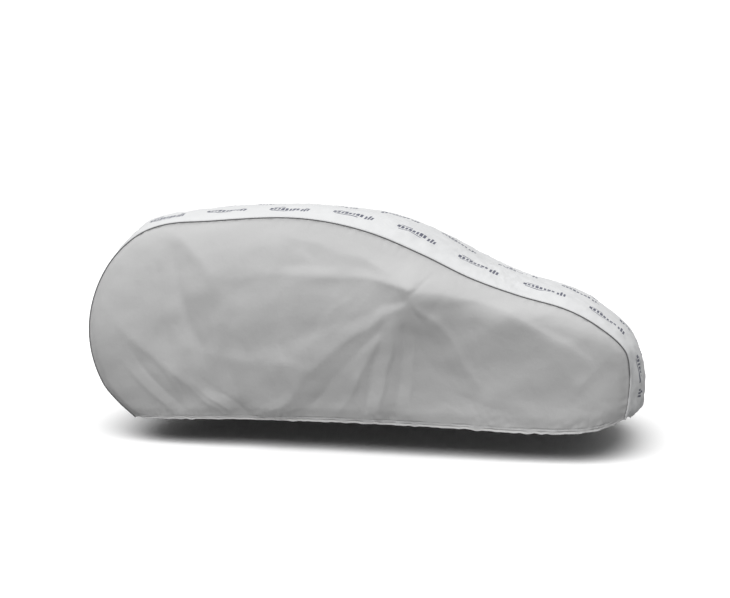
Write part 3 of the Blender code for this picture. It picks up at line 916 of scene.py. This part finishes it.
def printed_dashes(finish, pattern):
    """How strongly the print covers each place of the pattern, from 0 to 1."""
    place = finish.node("ShaderNodeSeparateXYZ")
    finish.join(pattern, place.inputs[0])
    rows = finish.maths("ADD", finish.maths("MULTIPLY", place.outputs["Y"], 1 / PRINT_ROW_PITCH), 0.5)
    in_row = finish.from_middle(rows, PRINT_ROW_PITCH)
    is_second = finish.maths("FLOORED_MODULO", finish.maths("FLOOR", rows), 2.0)
    shift = finish.maths("MULTIPLY", is_second, PRINT_STAGGER)
    shifted = finish.maths("ADD", place.outputs["X"], shift)
    in_group = finish.from_middle(finish.maths("MULTIPLY", shifted, 1 / PRINT_PITCH), PRINT_PITCH)
    cover = None
    for dash in PRINT_GROUP:
        ends = finish.inside(in_group, dash.along, dash.half_length)
        sides = finish.inside(in_row, dash.across, dash.half_width)
        mark = finish.maths("MULTIPLY", ends, sides)
        cover = mark if cover is None else finish.maths("MAXIMUM", cover, mark)
    return cover


def printed_over(finish, shade, pattern):
    """The shade with the print's worn ink over it."""
    worn = finish.spread(finish.noise(pattern, WORN_INK), *PRINT_WEAR, soft=True)
    ink = finish.node("ShaderNodeMix", data_type="RGBA")
    ink.inputs["B"].default_value = (*PRINT_INK, 1)
    finish.join(finish.maths("MULTIPLY", printed_dashes(finish, pattern), worn), ink.inputs["Factor"])
    finish.join(shade, ink.inputs["A"])
    return ink.outputs["Result"]


def nonwoven_cloth(name, colour, uneven, roughness, sheen, printed=False):
    """Spun-bonded cloth: matted fibres, pressed together in rows of small points, uneven in tone."""
    finish = Finish(name)
    pattern = finish.node("ShaderNodeUVMap", uv_map="pattern").outputs["UV"]
    place = finish.node("ShaderNodeTexCoord").outputs["Object"]
    clouds = finish.noise(place, CLOUDS)
    fibres = finish.noise(finish.mapped(pattern, Scale=FIBRE_STRETCH), FIBRES)
    creases = finish.noise(place, CREASES)
    points = finish.node("ShaderNodeTexVoronoi", voronoi_dimensions="2D", feature="F1")
    points.inputs["Scale"].default_value = PRESSED_POINTS
    points.inputs["Randomness"].default_value = 0.0
    turned = finish.mapped(pattern, Rotation=(0, 0, math.radians(PRESSED_TURN)))
    finish.join(turned, points.inputs["Vector"])
    pressed = finish.spread(points.outputs["Distance"], 0.0, 1.0, soft=True)

    cloud_tone = finish.spread(clouds, 1 - uneven, 1 + uneven)
    fibre_tone = finish.spread(fibres, 0.93, 1.07)
    shade = finish.tinted(colour, finish.maths("MULTIPLY", cloud_tone, fibre_tone))
    if printed:
        shade = printed_over(finish, shade, pattern)
    finish.join(shade, finish.shader.inputs["Base Color"])

    rough = finish.spread(clouds, roughness - ROUGHNESS_SPREAD, roughness + ROUGHNESS_SPREAD)
    finish.join(rough, finish.shader.inputs["Roughness"])
    normal = finish.bump(creases, distance=0.004, strength=0.35)
    normal = finish.bump(fibres, distance=0.0006, strength=0.5, under=normal)
    normal = finish.bump(pressed, distance=0.0005, strength=0.5, under=normal)
    finish.join(normal, finish.shader.inputs["Normal"])
    finish.shader.inputs["Sheen Weight"].default_value = sheen
    finish.shader.inputs["Specular IOR Level"].default_value = 0.25
    return finish.material


def bias_tape(name, colour):
    """Dark woven tape drawn round a cord."""
    finish = Finish(name)
    place = finish.node("ShaderNodeTexCoord").outputs["Object"]
    weave = finish.noise(place, WEAVE)
    worn = finish.noise(place, WORN_TAPE)
    tone = finish.maths("MULTIPLY", finish.spread(weave, 0.7, 1.3), finish.spread(worn, 0.85, 1.15))
    finish.join(finish.tinted(colour, tone), finish.shader.inputs["Base Color"])
    finish.join(finish.spread(worn, 0.6, 0.75), finish.shader.inputs["Roughness"])
    finish.join(finish.bump(weave, distance=0.0008, strength=0.6), finish.shader.inputs["Normal"])
    return finish.material


def sewing_thread(name, colour):
    """Twisted thread with a faint shine."""
    finish = Finish(name)
    place = finish.node("ShaderNodeTexCoord").outputs["Object"]
    twist = finish.noise(place, TWIST)
    shade = finish.node("ShaderNodeMix", data_type="RGBA")
    shade.inputs["A"].default_value = (*[0.75 * c for c in colour], 1)
    shade.inputs["B"].default_value = (*[1.2 * c for c in colour], 1)
    finish.join(twist, shade.inputs["Factor"])
    finish.join(shade.outputs["Result"], finish.shader.inputs["Base Color"])
    finish.join(finish.spread(twist, 0.45, 0.6), finish.shader.inputs["Roughness"])
    finish.join(finish.bump(twist, distance=0.0004, strength=0.6), finish.shader.inputs["Normal"])
    return finish.material


# ---- Studio --------
FLOOR_HALF_WIDTH = 60
FLOOR_SEEN = 0.98
FLOOR_BOUNCE = 0.30  # the share of light that it throws back at the cover


def make_floor():
    """A plain pale floor, which throws back less light than it shows."""
    bm = bmesh.new()
    bmesh.ops.create_grid(bm, x_segments=1, y_segments=1, size=FLOOR_HALF_WIDTH)
    bmesh.ops.translate(bm, verts=bm.verts, vec=(0, 0, float(TO_ROOF[2])))
    mesh = bpy.data.meshes.new("studio_floor")
    bm.to_mesh(mesh)
    bm.free()
    floor = bpy.data.objects.new("studio_floor", mesh)
    finish = Finish("pale_floor")
    path = finish.node("ShaderNodeLightPath")
    shade = finish.spread(path.outputs["Is Camera Ray"], FLOOR_BOUNCE, FLOOR_SEEN)
    finish.join(shade, finish.shader.inputs["Base Color"])
    finish.shader.inputs["Roughness"].default_value = 0.9
    finish.shader.inputs["Specular IOR Level"].default_value = 0.0
    mesh.materials.append(finish.material)
    bpy.context.scene.collection.objects.link(floor)


SKY_LOW = 0.16
SKY_RISE = 0.80  # how much brighter the ceiling is straight above
SKY_POWER = 2.0
BACKGROUND = 1.1  # how bright the camera sees it
KEY_HEIGHT = 62  # degrees above the floor
KEY_TURN = -12  # degrees from straight before the right-hand side; under 0 is towards the tail
KEY_SPREAD = 65  # degrees across
KEY_POWER = 2.83


def make_light():
    """Soft light from all over the ceiling and a broad key light, over a white background."""
    world = bpy.data.worlds.new("studio")
    bpy.context.scene.world = world
    world.use_nodes = True
    nodes, links = world.node_tree.nodes, world.node_tree.links
    direction = nodes.new("ShaderNodeTexCoord")
    split = nodes.new("ShaderNodeSeparateXYZ")
    height = nodes.new("ShaderNodeMath")
    height.operation = "POWER"
    height.inputs[1].default_value = SKY_POWER
    glow = nodes.new("ShaderNodeMath")
    glow.operation = "MULTIPLY_ADD"
    glow.inputs[1].default_value = SKY_RISE
    glow.inputs[2].default_value = SKY_LOW
    path = nodes.new("ShaderNodeLightPath")
    seen = nodes.new("ShaderNodeMix")
    seen.data_type = "FLOAT"
    seen.inputs["B"].default_value = BACKGROUND
    links.new(direction.outputs["Generated"], split.inputs["Vector"])
    links.new(split.outputs["Z"], height.inputs[0])
    links.new(height.outputs[0], glow.inputs[0])
    links.new(path.outputs["Is Camera Ray"], seen.inputs["Factor"])
    links.new(glow.outputs[0], seen.inputs["A"])
    links.new(seen.outputs["Result"], nodes["Background"].inputs["Strength"])
    nodes["Background"].inputs["Color"].default_value = (1, 1, 1, 1)

    key = bpy.data.objects.new("key_light", bpy.data.lights.new("key_light", "SUN"))
    key.data.energy = KEY_POWER
    key.data.angle = math.radians(KEY_SPREAD)
    key.rotation_euler = Euler((math.radians(90 - KEY_HEIGHT), 0, math.radians(KEY_TURN)))
    bpy.context.scene.collection.objects.link(key)


CAMERA_PLACE = (2.17, -6.82, -0.013)
CAMERA_DOWN = 5.18  # degrees below level
CAMERA_TURN = 12.5  # degrees from straight across the cover towards the tail


def make_camera():
    """A camera where the photo's stood, with a common 50 mm lens."""
    data = bpy.data.cameras.new("photo_camera")
    data.lens = 50
    data.sensor_width = 36
    camera = bpy.data.objects.new("photo_camera", data)
    camera.location = CAMERA_PLACE
    camera.rotation_euler = Euler((math.radians(90 - CAMERA_DOWN), 0, math.radians(CAMERA_TURN)))
    bpy.context.scene.collection.objects.link(camera)
    bpy.context.scene.camera = camera


# ---- The cover --------
STRIP_WHITE = (0.62, 0.625, 0.63)
PANEL_GREY = (0.47, 0.47, 0.47)
PIPING_DARK = (0.15, 0.15, 0.155)
THREAD_PALE = (0.50, 0.505, 0.515)
THREAD_GREY = (0.33, 0.33, 0.335)


def make_strip(cloth, thread):
    """The top strip, with its stitching beside both seams and along both hems."""
    points, flat = strip_points()
    strip = finish_piece(cloth_sheet("strip_cloth", points, flat, False), cloth)
    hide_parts("top_strip")
    normals = grid_normals(points)
    from_right = lengths_from_start(points, 1)
    run = lengths_from_start(points, 0)
    route = line_at(points, from_right, SEAM_STITCH_FROM)
    ways = line_at(normals, from_right, SEAM_STITCH_FROM)
    for word, mirror in SIDES:
        row = stitches(f"seam_stitches_{word}", route, ways, mirror, STRIP_STITCH_MARGIN)
        finish_piece(row, thread)
    for word, grid, outwards, depth in (
        ("tail", points, normals, run),
        ("nose", points[::-1], normals[::-1], run[-1:] - run[::-1]),
    ):
        route = line_at(grid.swapaxes(0, 1), depth.T, HEM_HEIGHT)
        ways = line_at(outwards.swapaxes(0, 1), depth.T, HEM_HEIGHT)
        row = stitches(f"hem_stitches_{word}", route, ways, False, STRIP_STITCH_MARGIN)
        finish_piece(row, thread)


def make_side(word, mirror, cloth, thread, tape):
    """One side panel with its hem's stitching, and the piping in its seam."""
    points, flat = panel_points(mirror)
    panel = finish_piece(cloth_sheet(f"side_cloth_{word}", points, flat, mirror), cloth)
    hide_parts(f"side_panel_{word}")
    above = lengths_from_start(points, 1)
    route = line_at(points, above, HEM_HEIGHT)
    ways = line_at(grid_normals(points), above, HEM_HEIGHT)
    row = stitches(f"hem_stitches_{word}", route, ways, mirror, PANEL_STITCH_MARGIN)
    sewn = finish_piece(row, thread)
    piping = finish_piece(seam_piping(f"piping_{word}", mirror), tape)
    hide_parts(f"seam_piping_{word}")


def main():
    make_camera()
    make_light()
    make_floor()
    bpy.context.scene.view_settings.view_transform = "Standard"
    white = nonwoven_cloth(
        "white_cloth_finish", STRIP_WHITE, uneven=0.02, roughness=0.72, sheen=0.05, printed=True
    )
    grey = nonwoven_cloth("grey_cloth_finish", PANEL_GREY, uneven=0.03, roughness=0.74, sheen=0.10)
    dark = bias_tape("dark_piping_finish", PIPING_DARK)
    pale_thread = sewing_thread("pale_thread_finish", THREAD_PALE)
    grey_thread = sewing_thread("grey_thread_finish", THREAD_GREY)
    make_strip(white, pale_thread)
    for word, mirror in SIDES:
        make_side(word, mirror, grey, grey_thread, dark)


main()
